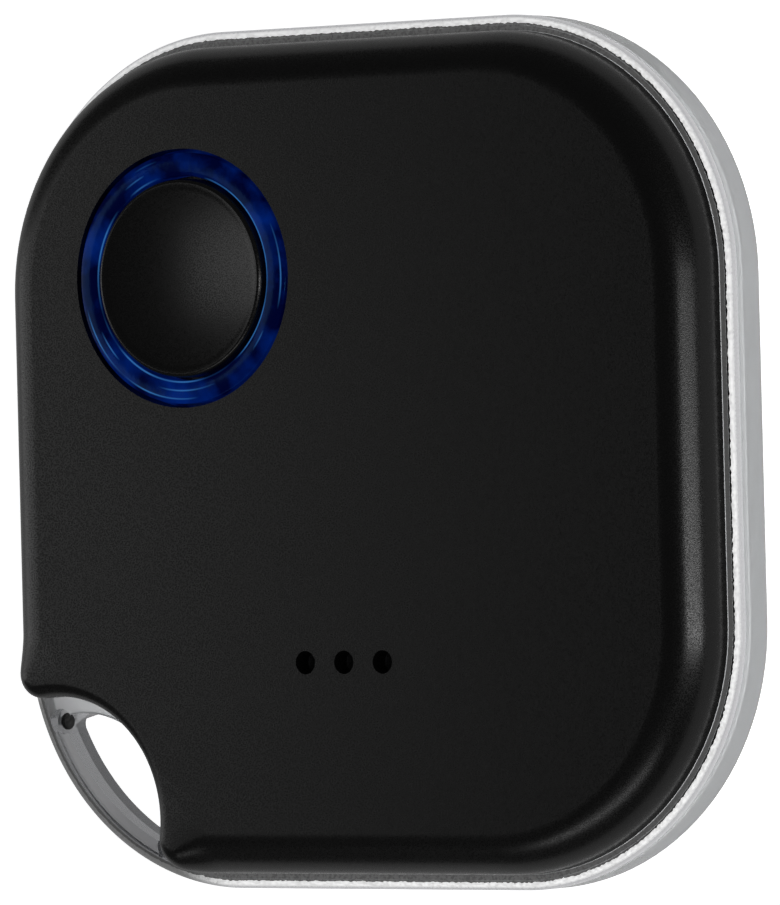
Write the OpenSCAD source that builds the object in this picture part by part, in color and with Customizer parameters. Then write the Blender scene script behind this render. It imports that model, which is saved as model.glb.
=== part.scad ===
// Bluetooth push-button tag with a key loop.
// Millimetres. +Z points out of the front face, +Y towards the top edge.
// The origin is the middle of the flat of the back.

/* [Case] */
// Width and height of the case outline
case_w = 36; // [35.6:0.2:38]
// Thickness over everything, from the back to the button's rim
case_t = 6; // [6:0.1:6.4]
// Radius of the four outline corners
corner_r = 10.9; // [10:0.1:11.6]
// Height of the parting line between the base and the cover
joint_z = 3.52; // [3.4:0.02:3.6]
// Height at which the upright side turns in to the soft back
side_z = 1.76; // [1.6:0.02:1.9]
// How far in the soft back reaches before it is flat
back_in = 5.2; // [4.6:0.1:6]
// Wall of the base at its rim
base_wall = 1.8; // [1.7:0.05:1.9]
// Floor of the base
floor_t = 0.75; // [0.7:0.05:0.75]

/* [Front cover] */
// Step from the case outline in to the cover outline
cover_in = 0.65; // [0.5:0.05:0.8]
// Radius of the cover's front edge
cover_edge_r = 1.8; // [1.4:0.1:1.8]
// Thickness of the front wall
cover_t = 0.9; // [0.9:0.05:1]
// How far the cover's lip reaches down inside the base
lip_depth = 1.7; // [0.8:0.1:1.7]

/* [Key loop] */
// Distance of the key hole's centre from both middle lines
hole_at = 15; // [14.9:0.1:15.2]
// Radius of the cover's cut for the key loop
hole_r = 5.17; // [5:0.05:5.3]
// Radius of the key hole in the base
loop_hole_r = 4.4; // [4.3:0.05:4.6]
// Width of the loop's bar, measured across its top
loop_bar = 1.05; // [1:0.05:1.3]
// Thickness of the loop's bar, front to back
loop_bar_t = 1.57; // [1.5:0.05:2]
// Rounding of the cover's two corners beside the key hole
hole_corner_r = 1.3; // [1:0.1:1.5]
// Rounding of the two pointed ends of the key hole in the base
hole_tip_r = 0.45; // [0.35:0.05:0.55]

/* [Button and light ring] */
// Middle of the button, across
button_x = -7.75; // [-8:0.05:-7.6]
// Middle of the button, up
button_y = 7.65; // [7.5:0.05:7.8]
// Outer radius of the light ring
ring_r = 5.25; // [5.15:0.05:5.25]
// Inner radius of the light ring
ring_in_r = 4.29; // [4.25:0.02:4.35]
// Radius of the button cap
button_r = 4.15; // [4:0.05:4.17]
// Depth of the button's finger dish
dish_depth = 0.43; // [0.2:0.01:0.5]
// How far the button's rim stands out of the face
button_out = 0.2; // [0.15:0.05:0.2]
// Travel of the button
button_travel = 0.25; // [0.15:0.01:0.25]

/* [Sound holes] */
// Number of sound holes
sound_holes = 3; // [1:1:3]
// Diameter of a sound hole
sound_hole_d = 0.97; // [0.8:0.01:1.1]
// Distance between neighbouring sound holes
sound_pitch = 1.93; // [1.7:0.01:2.1]
// Distance of the row below the middle
sound_y = 8.48; // [8.3:0.02:8.6]

/* [Coin cell] */
// Diameter of the cell
cell_d = 20; // [19.8:0.1:20]
// Height of the cell
cell_h = 3.2; // [3.1:0.05:3.2]
// Middle of the cell, across
cell_x = 5; // [4.9:0.1:5.1]
// Middle of the cell, up
cell_y = 1.6; // [1.5:0.1:1.7]

/* [Circuit board] */
// Thickness of the board
board_t = 0.8; // [0.6:0.1:0.8]
// Height of the board's back face
board_z = 1.9; // [1.9:0.05:2]
// Gap from the case outline in to the board's edge
board_in = 2.9; // [2.8:0.1:3.2]

/* [Hidden] */
$fn = 64;
eps = 0.05;            // how far a cutter runs past a face
slack = 0.02;          // gap between neighbours that almost touch
half = case_w / 2;
face_z = case_t - button_out;
arc_steps = 8;         // flats in a quarter of a rounded edge

// Base
rim_r = 0.28;          // rounding of the base's upper outer edge
floor_in = 6.2;        // where the inside floor turns flat
step_in = 0.5;         // start of the shallow step on the loop's bar
step_h = 0.2;
step_end = [-16.25, -10.95]; // middle of the round hollow at one end of the step
step_end_r = 0.55;
step_end_h = 0.5;
hole_wall = 0.93;      // wall of the base round the key hole

// Cover
cover_arc_z = face_z - cover_edge_r;
ceiling_z = face_z - cover_t;
lip_gap = 0.08;
lip_t = 0.62;
lip_in = base_wall + lip_gap;
cover_hole_wall = 1.73;
inside_edge = 0.6;     // chamfer between the cover's inner wall and its ceiling
hole_edge_r = 0.6;     // rounding of the front edge along the key hole
ring_gap = 0.17;
ring_seat_chamfer = 0.12;

// Light ring
ring_fall = 0.07;      // how far the ring's two edges lie below its crest
ring_flange_t = 0.2;
ring_top_z = face_z - ring_fall;
ring_crest_z = face_z;
flange_r = 6.3;
flange_z = ceiling_z - ring_flange_t;

// Button
cap_rim_z = case_t;
cap_flange_r = 4.9;
cap_flange_t = 0.2;     // thin enough to stay off the cell at full press
cap_flange_z = flange_z - 2 * slack - cap_flange_t;
stem_r = 1.1;
dish_r = (button_r * button_r + dish_depth * dish_depth) / (2 * dish_depth);
cap_edge_r = 0.18;
cap_rim_w = 0.35;

// Coin cell
cell_z = 0.95;
cell_top_z = cell_z + cell_h;
cell_r = cell_d / 2;
can_t = 0.25;
cap_r = 8.85;
gasket_t = 0.3;
cutout_r = cell_r + 0.25;
contact_t = 0.15;
contact_w = 4;
contact_foot_x = -9;   // the lower leaf: its foot, its bend and its tip, across
contact_bend_x = -7.4;
contact_drop = 1.6;
contact_tip_x = 8;
cell_lift = 0.2;       // the can's rim above the cap, and the gasket's place between them
gasket_lift = 0.15;

// Board
board_top = board_z + board_t;
board_right = 10;      // the board stops here, beside the cell
board_hole_r = hole_r + 2.2;
post_r = 1.1;
pin_r = 0.55;
pin_hole_r = 0.6;
pin_head_r = 0.85;
pin_head_h = 0.3;
posts = [[-13.6, 8.6], [0.5, 13.2], [8.4, 12.6], [8.4, -11.5], [-11.2, -7.4]];

// Switch under the button
switch_w = 4.2;
switch_h = 0.8;
switch_well_r = 1.55;
well_floor = 0.15;
plate_t = 0.12;
plate_gap = 0.06;
plunger_r = 0.8;
plunger_top = 3.85;
plunger_flange_r = 1.3;
plunger_flange_t = 0.1;
dome_t = 0.08;
dome_h = button_travel + dome_t;

// Sounder
sounder_x = -4.2;
sounder_y = -9.4;
sounder_r = 4;
sounder_h = 1.9;
sounder_wall = 0.35;
lid_t = 0.3;
lid_hole_r = 0.8;
diaphragm_t = 0.1;
diaphragm_z = 1.05;    // above the board

// Lights
led_circle_r = 5.6;
led_first = 60;
led_step = 75;
led_w = 0.8;
led_lens = 1;
led_base_t = 0.2;
led_lens_t = 0.4;

// ---------- shared shapes ----------

// Points of an arc about c, from angle a0 to a1. The last point is left out where last = 0.
function arc(c, r, a0, a1, n = arc_steps, last = 1) =
    [for (i = [0:n - 1 + last]) let (a = a0 + (a1 - a0) * i / n) c + r * [cos(a), sin(a)]];

// A quarter ellipse of [inset, height] points, from a flat floor out to an upright side.
function swell(in0, z0, in1, z1) =
    [for (i = [0:arc_steps]) let (a = 90 * i / arc_steps)
        [in0 + (in1 - in0) * sin(a), z0 + (z1 - z0) * (1 - cos(a))]];

// A rounded square block. edge lists [inset from the case outline, height], bottom to top.
module soft_block(edge) {
    c = half - corner_r;
    low = edge[0].y;
    high = edge[len(edge) - 1].y;
    side = [for (p = edge) [half - p.x, p.y]];
    other = [for (i = [len(edge) - 1:-1:0]) [edge[i].x - half, edge[i].y]];
    for (k = [0:3]) {
        rotate(90 * k)
            translate([c, c, 0])
                rotate_extrude(angle = 90)
                    polygon(concat([[0, low]], [for (p = edge) [corner_r - p.x, p.y]], [[0, high]]));
    }
    for (k = [0, 1]) {
        rotate(90 * k)
            rotate([90, 0, 0])
                linear_extrude(height = 2 * c, center = true)
                    polygon(concat(side, other));
    }
}

// A plain rounded square slab of a given inset.
module slab(inset, low, high) {
    soft_block([[inset, low], [inset, high]]);
}

module at_key_hole() {
    translate([-hole_at, -hole_at, 0]) children();
}

module at_button() {
    translate([button_x, button_y, 0]) children();
}

module at_cell() {
    translate([cell_x, cell_y, 0]) children();
}

module at_sounder() {
    translate([sounder_x, sounder_y, 0]) children();
}

// A box on the board's front face, about its own middle.
module chip(x, y, size) {
    translate([x - size.x / 2, y - size.y / 2, board_top]) cube(size);
}

// A tube about the Z axis.
module tube(r_out, r_in, low, high) {
    difference() {
        translate([0, 0, low]) cylinder(r = r_out, h = high - low);
        translate([0, 0, low - eps]) cylinder(r = r_in, h = high - low + 2 * eps);
    }
}

// ---------- case ----------

// Outline of the key hole in the base: a lens between a circle of radius r about the hole's
// middle and one of radius bar_r about the corner's, with its two ends rounded.
function key_lens(r, bar_r) =
    let (
        corner = -(half - corner_r) * [1, 1],
        hole = -hole_at * [1, 1],
        a = bar_r - hole_tip_r,
        b = r - hole_tip_r,
        away = norm(hole - corner),
        wide = acos((a * a + away * away - b * b) / (2 * a * away)),
        shut = acos((b * b + away * away - a * a) / (2 * b * away)),
        low_tip = corner + a * [cos(225 + wide), sin(225 + wide)],
        high_tip = corner + a * [cos(225 - wide), sin(225 - wide)]
    )
    concat(
        arc(corner, bar_r, 225 - wide, 225 + wide, 2 * arc_steps, 0),
        arc(low_tip, hole_tip_r, 225 + wide, 405 - shut, 4, 0),
        arc(hole, r, 45 - shut, 45 + shut, 2 * arc_steps, 0),
        arc(high_tip, hole_tip_r, 45 + shut, 225 - wide, 4, 0)
    );

// The clear base: soft back, upright rim, key loop and posts for the board.
module base_tray() {
    outer = concat(
        swell(back_in, 0, 0, side_z),
        arc([rim_r, joint_z - rim_r], rim_r, 180, 90, 4)
    );
    inner = concat(swell(floor_in, floor_t, base_wall, side_z), [[base_wall, joint_z + eps]]);
    color([0.86, 0.9, 0.93, 0.45]) {
        difference() {
            soft_block(outer);
            difference() {
                soft_block(inner);
                at_key_hole() cylinder(r = hole_r + hole_wall, h = case_t);
            }
            translate([0, 0, -eps])
                linear_extrude(height = case_t) polygon(key_lens(loop_hole_r, corner_r - loop_bar));
            translate([0, 0, joint_z - step_h])
                linear_extrude(height = 1) polygon(key_lens(loop_hole_r - eps, corner_r - step_in));
            translate([0, 0, -eps])
                at_key_hole() cylinder(r = loop_hole_r + eps, h = joint_z - loop_bar_t + eps);
            for (p = [step_end, [step_end.y, step_end.x]])
                translate([p.x, p.y, joint_z - step_end_h]) cylinder(r = step_end_r, h = 1);
        }
        for (p = posts) {
            translate([p.x, p.y, floor_t - eps]) cylinder(r = post_r, h = board_z - floor_t + eps);
            translate([p.x, p.y, board_z - eps]) cylinder(r = pin_r, h = board_t + 2 * eps);
            translate([p.x, p.y, board_top]) cylinder(r = pin_head_r, h = pin_head_h);
        }
    }
}

// Cuts a convex corner between the cover's outline and the key hole to a round.
module corner_rounding(side) {
    outline_r = corner_r - cover_in;
    a = outline_r - hole_corner_r;
    b = hole_r + hole_corner_r;
    away = (hole_at - half + corner_r) * sqrt(2);
    open = acos((a * a + away * away - b * b) / (2 * a * away));
    turn = 225 + side * open;
    o = -(half - corner_r) * [1, 1];
    middle = o + a * [cos(turn), sin(turn)];
    to_hole = (-hole_at * [1, 1] - middle) / b;
    to_edge = [cos(turn), sin(turn)];
    reach = 3.2;
    translate([0, 0, joint_z - 2])
        linear_extrude(height = case_t)
            difference() {
                polygon([
                    middle,
                    middle + reach * to_edge,
                    middle + reach * (to_edge + to_hole) * 1.2,
                    middle + reach * to_hole
                ]);
                translate(middle) circle(r = hole_corner_r);
            }
}

// The black front cover: soft front edge, lip, key-hole cut, ring seat and sound holes.
module front_cover() {
    outer = concat(
        [[cover_in, joint_z]],
        arc([cover_in + cover_edge_r, cover_arc_z], cover_edge_r, 180, 90)
    );
    inside_in = lip_in + lip_t;
    inner = [[inside_in, joint_z - lip_depth - eps], [inside_in, ceiling_z - inside_edge],
             [inside_in + inside_edge, ceiling_z]];
    flare = concat(
        [[0, 0], [hole_r, 0]],
        arc([hole_r + hole_edge_r, face_z - hole_edge_r], hole_edge_r, 180, 90),
        [[hole_r + hole_edge_r, case_t + eps], [0, case_t + eps]]
    );
    color([0.1, 0.1, 0.1]) {
        difference() {
            union() {
                soft_block(outer);
                difference() {
                    slab(lip_in, joint_z - lip_depth, joint_z + eps);
                    at_key_hole() cylinder(r = hole_r + hole_wall + lip_gap, h = joint_z);
                }
            }
            difference() {
                soft_block(inner);
                at_key_hole() cylinder(r = hole_r + cover_hole_wall, h = case_t + eps);
            }
            at_key_hole() rotate_extrude() polygon(flare);
            corner_rounding(1);
            corner_rounding(-1);
            at_button() {
                cylinder(r = ring_r + ring_gap, h = case_t + eps);
                translate([0, 0, face_z - ring_seat_chamfer])
                    cylinder(r1 = ring_r + ring_gap, r2 = ring_r + ring_gap + ring_seat_chamfer + eps,
                             h = ring_seat_chamfer + eps);
            }
            for (i = [0:sound_holes - 1]) {
                translate([(i - (sound_holes - 1) / 2) * sound_pitch, -sound_y, joint_z])
                    cylinder(r = sound_hole_d / 2, h = case_t);
            }
        }
    }
}

// ---------- button and light ring ----------

// The light ring: a crested band in the cover's hole, on a flange glued under the front wall.
module light_ring() {
    mid = (ring_r + ring_in_r) / 2;
    color([0.05, 0.2, 0.75, 0.8])
        at_button()
            rotate_extrude()
                polygon([
                    [ring_in_r, flange_z], [flange_r, flange_z], [flange_r, ceiling_z],
                    [ring_r, ceiling_z], [ring_r, ring_top_z],
                    [mid, ring_crest_z], [ring_in_r, ring_top_z]
                ]);
}

// The button cap: a dished cap, a flange that keeps it in the ring, and a stem.
module button_cap() {
    dish_middle_z = cap_rim_z - dish_depth + dish_r;
    rim_in = button_r - cap_rim_w;
    dish_a = asin(rim_in / dish_r);
    dish = arc([0, dish_middle_z], dish_r, 270, 270 + dish_a);
    rim = arc([button_r - cap_edge_r, cap_rim_z - cap_edge_r], cap_edge_r, 90, 0, 4);
    color([0.1, 0.1, 0.1])
        at_button()
            rotate_extrude()
                polygon(concat(
                    dish, rim,
                    [[button_r, cap_flange_z + cap_flange_t],
                     [cap_flange_r, cap_flange_z + cap_flange_t],
                     [cap_flange_r, cap_flange_z], [stem_r, cap_flange_z],
                     [stem_r, plunger_top + slack], [0, plunger_top + slack]]
                ));
}

// ---------- pieces on the cover ----------

// Woven mesh behind the sound holes.
module acoustic_mesh() {
    w = 7;
    d = 2.6;
    t = 0.12;
    color([0.25, 0.25, 0.27])
        translate([-w / 2, -sound_y - d / 2, ceiling_z - t]) cube([w, d, t]);
}

// Foam pad that keeps the cell from rattling.
module cell_pad() {
    gap = 0.05;
    color([0.3, 0.3, 0.32])
        at_cell()
            translate([0, 0, cell_top_z + gap]) cylinder(r = 4, h = ceiling_z - cell_top_z - gap);
}

// ---------- circuit board ----------

module circuit_board() {
    color([0.05, 0.3, 0.16])
        difference() {
            slab(board_in, board_z, board_top);
            at_key_hole() cylinder(r = board_hole_r, h = case_t);
            at_cell() cylinder(r = cutout_r, h = case_t);
            translate([board_right, -half, 0]) cube([half, case_w, case_t]);
            for (p = posts) translate([p.x, p.y, 0]) cylinder(r = pin_hole_r, h = case_t);
        }
}

// ---------- coin cell ----------

// The steel can, open towards the back.
module battery_can() {
    color([0.78, 0.79, 0.8])
        at_cell()
            difference() {
                translate([0, 0, cell_z + cell_lift]) cylinder(r = cell_r, h = cell_h - cell_lift);
                cylinder(r = cell_r - can_t, h = cell_top_z - can_t);
            }
}

// The sealing ring between the can and the cap.
module battery_gasket() {
    color([0.12, 0.12, 0.12])
        at_cell()
            tube(cell_r - can_t, cap_r, cell_z + gasket_lift, cell_z + gasket_lift + gasket_t);
}

// The cap, the cell's other pole.
module battery_cap() {
    color([0.82, 0.82, 0.83])
        at_cell() translate([0, 0, cell_z]) cylinder(r = cap_r, h = gasket_lift + gasket_t);
}

// What the can holds, as one pressed pellet.
module battery_core() {
    low = cell_z + gasket_lift + gasket_t;
    color([0.2, 0.2, 0.21])
        at_cell() translate([0, 0, low]) cylinder(r = cell_r - can_t, h = cell_top_z - can_t - low);
}

// Side contact: a foot on the board and a leaf beside the can.
module side_contact() {
    gap = 0.05;
    leaf_y = -cell_r - gap - contact_t;
    foot_y = leaf_y - 2.4;
    leaf_high = cell_top_z - contact_t;
    color([0.8, 0.7, 0.45])
        at_cell()
            rotate([90, 0, 90])
                linear_extrude(height = contact_w, center = true)
                    polygon([
                        [foot_y, board_top], [leaf_y + contact_t, board_top],
                        [leaf_y + contact_t, leaf_high], [leaf_y, leaf_high],
                        [leaf_y, board_top + contact_t], [foot_y, board_top + contact_t]
                    ]);
}

module positive_contact_lower() {
    side_contact();
}

module positive_contact_upper() {
    translate([0, 2 * cell_y, 0]) mirror([0, 1, 0]) side_contact();
}

// Leaf under the cell, with its foot on the back of the board.
module negative_contact() {
    low = floor_t + slack;
    foot = board_z - contact_t;
    color([0.8, 0.7, 0.45])
        translate([0, cell_y, 0])
            rotate([90, 0, 0])
                linear_extrude(height = contact_w, center = true)
                    polygon([
                        [contact_foot_x, foot], [contact_bend_x, foot],
                        [contact_bend_x + contact_drop, low], [contact_tip_x, low],
                        [contact_tip_x, low + contact_t],
                        [contact_bend_x + contact_drop + slack, low + contact_t],
                        [contact_bend_x + slack, board_z], [contact_foot_x, board_z]
                    ]);
}

// ---------- switch ----------

module switch_body() {
    color([0.15, 0.15, 0.16])
        difference() {
            chip(button_x, button_y, [switch_w, switch_w, switch_h]);
            at_button() translate([0, 0, board_top + well_floor]) cylinder(r = switch_well_r, h = 2);
        }
}

// The snap disc that gives the click.
module switch_dome() {
    low = board_top + well_floor;
    rim_r = switch_well_r - eps;
    color([0.8, 0.8, 0.78])
        at_button()
            rotate_extrude()
                polygon([[0, low + dome_h - dome_t], [rim_r, low], [rim_r, low + dome_t],
                         [0, low + dome_h]]);
}

module switch_plate() {
    low = board_top + switch_h;
    color([0.75, 0.75, 0.76])
        difference() {
            translate([button_x - switch_w / 2, button_y - switch_w / 2, low])
                cube([switch_w, switch_w, plate_t]);
            at_button() cylinder(r = plunger_r + plate_gap, h = case_t);
        }
}

module switch_plunger() {
    low = board_top + well_floor + dome_h + slack;
    color([0.9, 0.9, 0.88])
        at_button() {
            translate([0, 0, low]) cylinder(r = plunger_flange_r, h = plunger_flange_t);
            translate([0, 0, low]) cylinder(r = plunger_r, h = plunger_top - low);
        }
}

// ---------- lights ----------

module led(i) {
    a = led_first + led_step * i;
    color([0.95, 0.93, 0.75])
        at_button()
            rotate(a)
                translate([led_circle_r - led_w / 2, 0, board_top]) {
                    translate([0, -led_w, 0]) cube([led_w, 2 * led_w, led_base_t]);
                    translate([0, -led_lens / 2, led_base_t - eps]) cube([led_w, led_lens, led_lens_t]);
                }
}

module led_1() { led(0); }
module led_2() { led(1); }
module led_3() { led(2); }
module led_4() { led(3); }

// ---------- sounder ----------

module sounder_case() {
    seat_z = board_top + diaphragm_z;
    color([0.1, 0.1, 0.11])
        at_sounder()
            difference() {
                translate([0, 0, board_top]) cylinder(r = sounder_r, h = sounder_h - lid_t);
                translate([0, 0, board_top + lid_t])
                    cylinder(r = sounder_r - 2 * sounder_wall, h = sounder_h);
                translate([0, 0, seat_z]) cylinder(r = sounder_r - sounder_wall, h = sounder_h);
            }
}

module sounder_diaphragm() {
    color([0.85, 0.75, 0.45])
        at_sounder()
            translate([0, 0, board_top + diaphragm_z])
                cylinder(r = sounder_r - sounder_wall - slack, h = diaphragm_t);
}

module sounder_lid() {
    color([0.12, 0.12, 0.13])
        at_sounder() tube(sounder_r, lid_hole_r, board_top + sounder_h - lid_t, board_top + sounder_h);
}

// ---------- other parts on the board ----------

module radio_chip() {
    color([0.08, 0.08, 0.09]) chip(-10.2, -2.2, [5, 5, 0.85]);
}

module crystal() {
    color([0.8, 0.8, 0.78]) chip(-8.6, -6, [2, 1.6, 0.5]);
}

module chip_antenna() {
    color([0.9, 0.9, 0.87]) chip(-14.1, -2.5, [1.2, 3.2, 1.1]);
}

module inductor() {
    color([0.3, 0.3, 0.32]) chip(1.2, -10.9, [2, 2, 1]);
}

module capacitors() {
    count = 4;
    color([0.6, 0.45, 0.3])
        for (i = [0:count - 1]) chip(-13.5 + 1.5 * i, 1.5, [0.5, 1, 0.5]);
}

module resistors() {
    count = 4;
    color([0.1, 0.1, 0.1])
        for (i = [0:count - 1]) chip(1.4 + 1.5 * i, -13, [0.5, 1, 0.35]);
}

// Gold pads on the back of the board.
module test_pads() {
    count = 4;
    t = 0.04;
    color([0.85, 0.68, 0.3])
        for (i = [0:count - 1])
            translate([-13 + 1.7 * i, -4.2, board_z - t]) cylinder(r = 0.6, h = t);
}

base_tray();
front_cover();
light_ring();
button_cap();
acoustic_mesh();
cell_pad();
circuit_board();
battery_can();
battery_gasket();
battery_cap();
battery_core();
positive_contact_upper();
positive_contact_lower();
negative_contact();
switch_body();
switch_dome();
switch_plate();
switch_plunger();
led_1();
led_2();
led_3();
led_4();
sounder_case();
sounder_diaphragm();
sounder_lid();
radio_chip();
crystal();
chip_antenna();
inductor();
capacitors();
resistors();
test_pads();
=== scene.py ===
"""Studio scene of a flat push-button tag: a black cover on a clear base with a key loop.

Lengths are in metres. +Z leaves the front face and +Y points at the top edge, as in the frame.
"""

from __future__ import annotations

import logging
import math
from dataclasses import dataclass, replace
from enum import Enum

import bmesh
import bpy
from mathutils import Matrix, Vector, noise


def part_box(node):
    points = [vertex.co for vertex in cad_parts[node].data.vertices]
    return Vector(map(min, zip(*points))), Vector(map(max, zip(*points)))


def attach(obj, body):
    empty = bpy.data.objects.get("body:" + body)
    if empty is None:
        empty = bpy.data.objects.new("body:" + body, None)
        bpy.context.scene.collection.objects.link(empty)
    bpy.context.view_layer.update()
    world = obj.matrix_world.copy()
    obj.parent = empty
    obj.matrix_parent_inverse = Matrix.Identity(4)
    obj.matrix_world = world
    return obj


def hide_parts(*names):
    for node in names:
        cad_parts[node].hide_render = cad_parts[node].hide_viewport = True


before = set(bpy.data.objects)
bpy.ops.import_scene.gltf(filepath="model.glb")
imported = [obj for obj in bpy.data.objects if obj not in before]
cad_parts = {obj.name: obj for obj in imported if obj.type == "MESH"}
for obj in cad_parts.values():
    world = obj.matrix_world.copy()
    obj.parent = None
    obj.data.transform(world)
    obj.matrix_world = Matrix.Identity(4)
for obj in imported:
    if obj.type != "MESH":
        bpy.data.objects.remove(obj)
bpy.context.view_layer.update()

LOG = logging.getLogger("tag")
MM = 0.001
# Where painted shade fades in over the key loop's corner, on the clear plastic and the edge bands.
LOOP_FADE = (-25.5 * MM, -27.5 * MM)  # x + y, from outside the loop's corner to inside it

CREASE = math.radians(35.0)
WELD = 1e-7

Point = tuple[float, float, float]
Pair = tuple[float, float]
Colour = tuple[float, float, float]
Socket = bpy.types.NodeSocket
Ring = list[bmesh.types.BMVert]


class Body(Enum):
    """The moving groups that a new piece rides on."""

    BASE = "base"
    COVER = "cover"
    BUTTON = "button"


def direction(degrees: float) -> Vector:
    """Returns the flat unit vector at that angle from +X."""
    return Vector((math.cos(math.radians(degrees)), math.sin(math.radians(degrees))))


def steps(start: float, stop: float, count: int, closed: bool = True) -> list[float]:
    """Spaces values evenly.

    Args:
        start: The first value.
        stop: The value at the far end.
        count: How many steps the stretch is cut into.
        closed: Whether the far end is one of the values.

    Returns:
        The values, in order.
    """
    last = count + 1 if closed else count
    return [start + (stop - start) * i / count for i in range(last)]


def ease(t: float) -> float:
    """Returns a 0 to 1 value with soft ends."""
    return t * t * (3 - 2 * t)


# ---------------------------------------------------------------- outlines


@dataclass(frozen=True)
class Place:
    """One point of an outline, with the way into the material and its share of the key cut."""

    at: Vector
    inward: Vector
    cut: float


@dataclass(frozen=True)
class Cut:
    """A round bite out of an outline's lower left corner."""

    radius: float
    rounding: float


@dataclass(frozen=True)
class CaseOutline:
    """The case's rounded square, and every line that runs parallel to it."""

    half: float = 18.0 * MM
    corner_r: float = 10.9 * MM
    hole_at: float = 15.0 * MM
    corner_steps: int = 28
    side_steps: int = 10
    rounding_steps: int = 14
    cut_steps: int = 36
    blend: float = 0.55

    @property
    def corner_middle(self) -> float:
        """Returns how far each corner's arc centre lies from the middle lines."""
        return self.half - self.corner_r

    @property
    def corner(self) -> Vector:
        """Returns the lower left corner's arc centre."""
        return Vector((-self.corner_middle, -self.corner_middle))

    @property
    def hole(self) -> Vector:
        """Returns the middle of the key hole's round side."""
        return Vector((-self.hole_at, -self.hole_at))

    def arc(self, middle: Vector, radius: float, first: float, last: float, count: int,
            cut: Pair = (0.0, 0.0), hollow: bool = False) -> list[Place]:
        """Samples an arc by the angle of its outward direction.

        Args:
            middle: The arc's centre.
            radius: The arc's radius.
            first: Outward direction at the start, in degrees.
            last: Outward direction at the end, in degrees.
            count: How many points, the end not being one of them.
            cut: Share of the key cut at the start and at the end.
            hollow: Whether the arc curves round empty space.

        Returns:
            The points of the arc.
        """
        sign = -1.0 if hollow else 1.0
        places = []
        for i, angle in enumerate(steps(first, last, count, closed=False)):
            out = direction(angle)
            share = cut[0] + (cut[1] - cut[0]) * i / count
            places.append(Place(middle + sign * radius * out, -out, share))
        return places

    def side(self, start: Vector, stop: Vector, inward: Vector) -> list[Place]:
        """Returns the inner points of a straight side, with the start and without the end."""
        spots = steps(0, 1, self.side_steps, closed=False)
        return [Place(start.lerp(stop, t), inward, 0.0) for t in spots]

    def bitten_corner(self, inset: float, cut: Cut) -> list[Place]:
        """Samples the lower left corner with the key cut in it.

        Args:
            inset: Distance in from the case outline.
            cut: The bite's radius and the rounding of its two corners.

        Returns:
            The corner's points, from the left side round to the bottom side.
        """
        corner, hole = self.corner, self.hole
        radius = self.corner_r - inset
        a, b = radius - cut.rounding, cut.radius + cut.rounding
        away = (hole - corner).length
        wide = math.degrees(math.acos((a * a + away * away - b * b) / (2 * a * away)))
        shut = math.degrees(math.acos((b * b + away * away - a * a) / (2 * b * away)))
        high_tip = corner + a * direction(225 - wide)
        low_tip = corner + a * direction(225 + wide)
        early, late = self.blend, 1.0
        n = self.rounding_steps
        return (
            self.arc(corner, radius, 180, 225 - wide, n, (0.0, early))
            + self.arc(high_tip, cut.rounding, 225 - wide, 225 + shut, n, (early, late))
            + self.arc(hole, cut.radius, 225 + shut, 225 - shut, self.cut_steps, (late, late), True)
            + self.arc(low_tip, cut.rounding, 225 - shut, 225 + wide, n, (late, early))
            + self.arc(corner, radius, 225 + wide, 270, n, (early, 0.0))
        )

    def loop(self, inset: float, cut: Cut | None = None) -> list[Place]:
        """Samples the whole outline, anticlockwise from the left side's lower end.

        Args:
            inset: Distance in from the case outline.
            cut: The bite out of the lower left corner, if it has one.

        Returns:
            The outline's points.
        """
        c = self.corner_middle
        reach = self.half - inset
        radius = self.corner_r - inset
        if cut is None:
            places = self.arc(Vector((-c, -c)), radius, 180, 270, self.corner_steps)
        else:
            places = self.bitten_corner(inset, cut)
        places += self.side(Vector((-c, -reach)), Vector((c, -reach)), Vector((0, 1)))
        places += self.arc(Vector((c, -c)), radius, 270, 360, self.corner_steps)
        places += self.side(Vector((reach, -c)), Vector((reach, c)), Vector((-1, 0)))
        places += self.arc(Vector((c, c)), radius, 0, 90, self.corner_steps)
        places += self.side(Vector((c, reach)), Vector((-c, reach)), Vector((0, -1)))
        places += self.arc(Vector((-c, c)), radius, 90, 180, self.corner_steps)
        places += self.side(Vector((-reach, c)), Vector((-reach, -c)), Vector((1, 0)))
        return places

    def lens(self, radius: float, bar_r: float, tip: float) -> list[Vector]:
        """Samples the key hole in the base: a lens with rounded ends.

        Args:
            radius: Radius about the hole's own middle.
            bar_r: Inner radius of the loop's bar, about the corner's middle.
            tip: Rounding of the lens's two ends.

        Returns:
            The lens's points, anticlockwise.
        """
        corner, hole = self.corner, self.hole
        a, b = bar_r - tip, radius - tip
        away = (hole - corner).length
        wide = math.degrees(math.acos((a * a + away * away - b * b) / (2 * a * away)))
        shut = math.degrees(math.acos((b * b + away * away - a * a) / (2 * b * away)))
        low_tip = corner + a * direction(225 + wide)
        high_tip = corner + a * direction(225 - wide)
        n, m = self.cut_steps, self.rounding_steps
        places = (
            self.arc(corner, bar_r, 225 - wide, 225 + wide, n)
            + self.arc(low_tip, tip, 225 + wide, 405 - shut, m)
            + self.arc(hole, radius, 45 - shut, 45 + shut, n)
            + self.arc(high_tip, tip, 45 + shut, 225 - wide, m)
        )
        return [p.at for p in places]


def circle(middle: Vector, radius: float, count: int = 96) -> list[Vector]:
    """Returns the points of a circle, anticlockwise."""
    return [middle + radius * direction(a) for a in steps(0, 360, count, closed=False)]


def quarter(radius: float, count: int = 8) -> list[Pair]:
    """Returns (inset, drop) pairs down a rounded edge, from its flat to its upright side."""
    return [
        (radius * (1 - math.cos(math.radians(a))), radius * (1 - math.sin(math.radians(a))))
        for a in steps(90, 0, count)
    ]


# ---------------------------------------------------------------- meshes


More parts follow.
